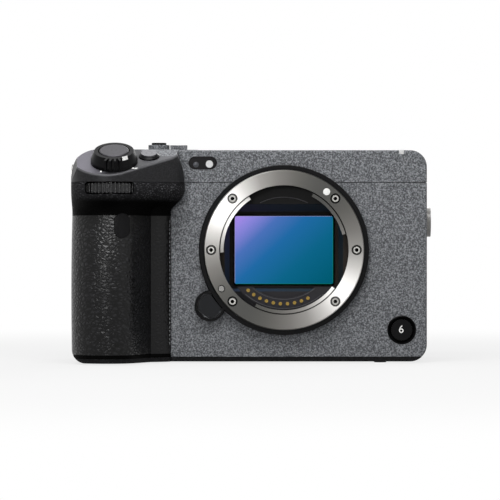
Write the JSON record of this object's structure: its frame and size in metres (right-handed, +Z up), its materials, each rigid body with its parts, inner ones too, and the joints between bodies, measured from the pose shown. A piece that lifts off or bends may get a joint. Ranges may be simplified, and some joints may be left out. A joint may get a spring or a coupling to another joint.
{
  "type": "cinema camera",
  "caption": "Compact full-frame cinema camera body without a lens: grey shell, grained side grip, steel bayonet, swing-out monitor, dials, buttons and hinged doors.",
  "frame": {"origin": "mouth of the tripod socket in the base, straight below the lens axis", "axes": "+X to the right seen from the front, the lens mount faces -Y, +Z up"},
  "size_m": [0.1297, 0.0845, 0.0797],
  "materials": {
    "alloy_grey": "fine speckled powder coat, dark grey",
    "alloy_black": "satin black coat",
    "grip_rubber": "grained black rubber",
    "plastic_black": "moulded matt black",
    "mount_steel": "turned satin steel",
    "steel": "bright steel",
    "gold": "gold plated",
    "button_satin": "dark anodised, spun",
    "cast_alloy": "as cast",
    "board_green": "solder mask",
    "sensor_filter": "coated filter glass",
    "battery_grey": "moulded grey",
    "fan_black": "moulded black",
    "screen": "black display cover",
    "window_dark": "dark smoked window",
    "lamp_white": "frosted white"
  },
  "bodies": {
    "camera_body": {"front_cover": "alloy_grey", "top_cover": "alloy_grey", "rear_cover": "alloy_black", "base_plate": "alloy_black", "grip_head": "alloy_black", "mount_collar": "alloy_black", "grip_skin": "grip_rubber", "grip_plug": "grip_rubber", "grip_shell": "plastic_black", "contact_block": "plastic_black", "light_baffle": "plastic_black", "battery_holder": "plastic_black", "card_slots": "plastic_black", "sockets": "plastic_black", "button_bezels": "plastic_black", "mount_ring": "mount_steel", "screws": "steel", "door_pins": "steel", "dial_axles": "steel", "thread_inserts": "steel", "hot_shoe": "steel", "monitor_bracket": "steel", "shutter_frame": "steel", "contact_pins": "gold", "chassis": "cast_alloy", "heat_sink": "cast_alloy", "main_board": "board_green", "battery": "battery_grey", "window": "window_dark", "lamps": "lamp_white"},
    "lens_release": {"lens_release_button": "plastic_black"},
    "lock": {"lock_pin": "steel"},
    "sensor_side": {"sensor_frame": "cast_alloy"},
    "sensor_unit": {"sensor_package": "board_green", "sensor_glass": "sensor_filter"},
    "leaf_low": {"shutter_leaf_low": "plastic_black"},
    "leaf_high": {"shutter_leaf_high": "plastic_black"},
    "fan": {"fan_rotor": "fan_black"},
    "door_battery": {"battery_door": "plastic_black"},
    "latch": {"battery_latch": "plastic_black"},
    "door_card": {"card_door": "plastic_black"},
    "door_port_upper": {"port_door_upper": "grip_rubber"},
    "door_port_lower": {"port_door_lower": "grip_rubber"},
    "shutter_release": {"shutter_button": "button_satin"},
    "lever": {"release_lever": "plastic_black"},
    "button_grip": {"grip_button": "plastic_black"},
    "dial_front": {"front_dial": "plastic_black"},
    "dial_rear": {"rear_dial": "plastic_black"},
    "button_record_top": {"record_button_top": "plastic_black"},
    "button_record_front": {"record_button_front": "plastic_black"},
    "power": {"power_slider": "plastic_black"},
    "wheel": {"control_wheel": "plastic_black"},
    "wheel_centre": {"wheel_button": "plastic_black"},
    "stick_gimbal": {"joystick_gimbal": "plastic_black"},
    "stick": {"joystick": "plastic_black"},
    "button_menu": {"menu_button": "plastic_black"},
    "button_view": {"view_button": "plastic_black"},
    "monitor": {"monitor_arm": "plastic_black", "monitor_shell": "plastic_black", "monitor_glass": "screen"}
  },
  "joints": [
    {"name": "lens_release_press", "type": "slide", "parent": "camera_body", "child": "lens_release", "axis": [0, 1, 0], "range_m": [0, 0.0016], "stiffness_N_per_m": 150},
    {"name": "lock_pin_slide", "type": "slide", "parent": "camera_body", "child": "lock", "axis": [0, 1, 0], "range_m": [0, 0.0016]},
    {"name": "sensor_shift_side", "type": "slide", "parent": "camera_body", "child": "sensor_side", "axis": [1, 0, 0], "range_m": [-0.001, 0.001], "stiffness_N_per_m": 1500},
    {"name": "sensor_shift_up", "type": "slide", "parent": "sensor_side", "child": "sensor_unit", "axis": [0, 0, 1], "range_m": [-0.001, 0.001], "stiffness_N_per_m": 1500},
    {"name": "shutter_low_slide", "type": "slide", "parent": "camera_body", "child": "leaf_low", "axis": [0, 0, -1], "range_m": [0, 0.0284]},
    {"name": "shutter_high_slide", "type": "slide", "parent": "camera_body", "child": "leaf_high", "axis": [0, 0, -1], "range_m": [0, 0.0142]},
    {"name": "fan_spin", "type": "hinge", "parent": "camera_body", "child": "fan", "pos_m": [0.012, 0.005, 0.036], "axis": [0, 1, 0], "continuous": true},
    {"name": "battery_door_hinge", "type": "hinge", "parent": "camera_body", "child": "door_battery", "pos_m": [-0.0481, -0.004, 0.0008], "axis": [0, -1, 0], "range_deg": [0, 90]},
    {"name": "battery_latch_slide", "type": "slide", "parent": "door_battery", "child": "latch", "axis": [1, 0, 0], "range_m": [0, 0.002]},
    {"name": "card_door_hinge", "type": "hinge", "parent": "camera_body", "child": "door_card", "pos_m": [-0.0743, 0.00995, 0.036], "axis": [0, 0, 1], "range_deg": [0, 90]},
    {"name": "port_door_upper_hinge", "type": "hinge", "parent": "camera_body", "child": "door_port_upper", "pos_m": [0.0503, 0.00745, 0.04775], "axis": [0, 0, -1], "range_deg": [0, 90]},
    {"name": "port_door_lower_hinge", "type": "hinge", "parent": "camera_body", "child": "door_port_lower", "pos_m": [0.0503, 0.00745, 0.021], "axis": [0, 0, -1], "range_deg": [0, 90]},
    {"name": "shutter_press", "type": "slide", "parent": "camera_body", "child": "shutter_release", "axis": [0, 0.4384, -0.8988], "range_m": [0, 0.001], "stiffness_N_per_m": 150},
    {"name": "lever_turn", "type": "hinge", "parent": "camera_body", "child": "lever", "pos_m": [-0.0596, -0.0384, 0.07053], "axis": [0, -0.4384, 0.8988], "range_deg": [-16, 16], "stiffness_Nm_per_rad": 0.02},
    {"name": "grip_button_press", "type": "slide", "parent": "camera_body", "child": "button_grip", "axis": [0, 0.4384, -0.8988], "range_m": [0, 0.0006], "stiffness_N_per_m": 150},
    {"name": "front_dial_spin", "type": "hinge", "parent": "camera_body", "child": "dial_front", "pos_m": [-0.061, -0.03785, 0.0615], "axis": [0, 0, 1], "continuous": true},
    {"name": "rear_dial_spin", "type": "hinge", "parent": "camera_body", "child": "dial_rear", "pos_m": [-0.063, 0.0186, 0.069], "axis": [0, 0, 1], "continuous": true},
    {"name": "record_top_press", "type": "slide", "parent": "camera_body", "child": "button_record_top", "axis": [0, 0, -1], "range_m": [0, 0.0006], "stiffness_N_per_m": 150},
    {"name": "record_front_press", "type": "slide", "parent": "camera_body", "child": "button_record_front", "axis": [0, 1, 0], "range_m": [0, 0.0006], "stiffness_N_per_m": 150},
    {"name": "power_slide", "type": "slide", "parent": "camera_body", "child": "power", "axis": [1, 0, 0], "range_m": [0, 0.003]},
    {"name": "control_wheel_spin", "type": "hinge", "parent": "camera_body", "child": "wheel", "pos_m": [-0.0456, 0.026, 0.03], "axis": [0, 1, 0], "continuous": true},
    {"name": "wheel_centre_press", "type": "slide", "parent": "camera_body", "child": "wheel_centre", "axis": [0, -1, 0], "range_m": [0, 0.0006], "stiffness_N_per_m": 150},
    {"name": "joystick_side", "type": "hinge", "parent": "camera_body", "child": "stick_gimbal", "pos_m": [-0.0364, 0.0231, 0.056], "axis": [0, 0, 1], "range_deg": [-7, 7], "stiffness_Nm_per_rad": 0.005},
    {"name": "joystick_up", "type": "hinge", "parent": "stick_gimbal", "child": "stick", "pos_m": [-0.0364, 0.0231, 0.056], "axis": [1, 0, 0], "range_deg": [-7, 7], "stiffness_Nm_per_rad": 0.005},
    {"name": "menu_press", "type": "slide", "parent": "camera_body", "child": "button_menu", "axis": [0, -1, 0], "range_m": [0, 0.0006], "stiffness_N_per_m": 150},
    {"name": "view_press", "type": "slide", "parent": "camera_body", "child": "button_view", "axis": [0, -1, 0], "range_m": [0, 0.0006], "stiffness_N_per_m": 150},
    {"name": "monitor_swing", "type": "hinge", "parent": "camera_body", "child": "monitor", "pos_m": [0.0482, 0.0308, 0.034], "axis": [0, 0, -1], "range_deg": [0, 176]}
  ],
  "couplings": [
    {"joint": "lock_pin_slide", "follows": "lens_release_press", "ratio": 1},
    {"joint": "shutter_high_slide", "follows": "shutter_low_slide", "ratio": 0.5}
  ]
}
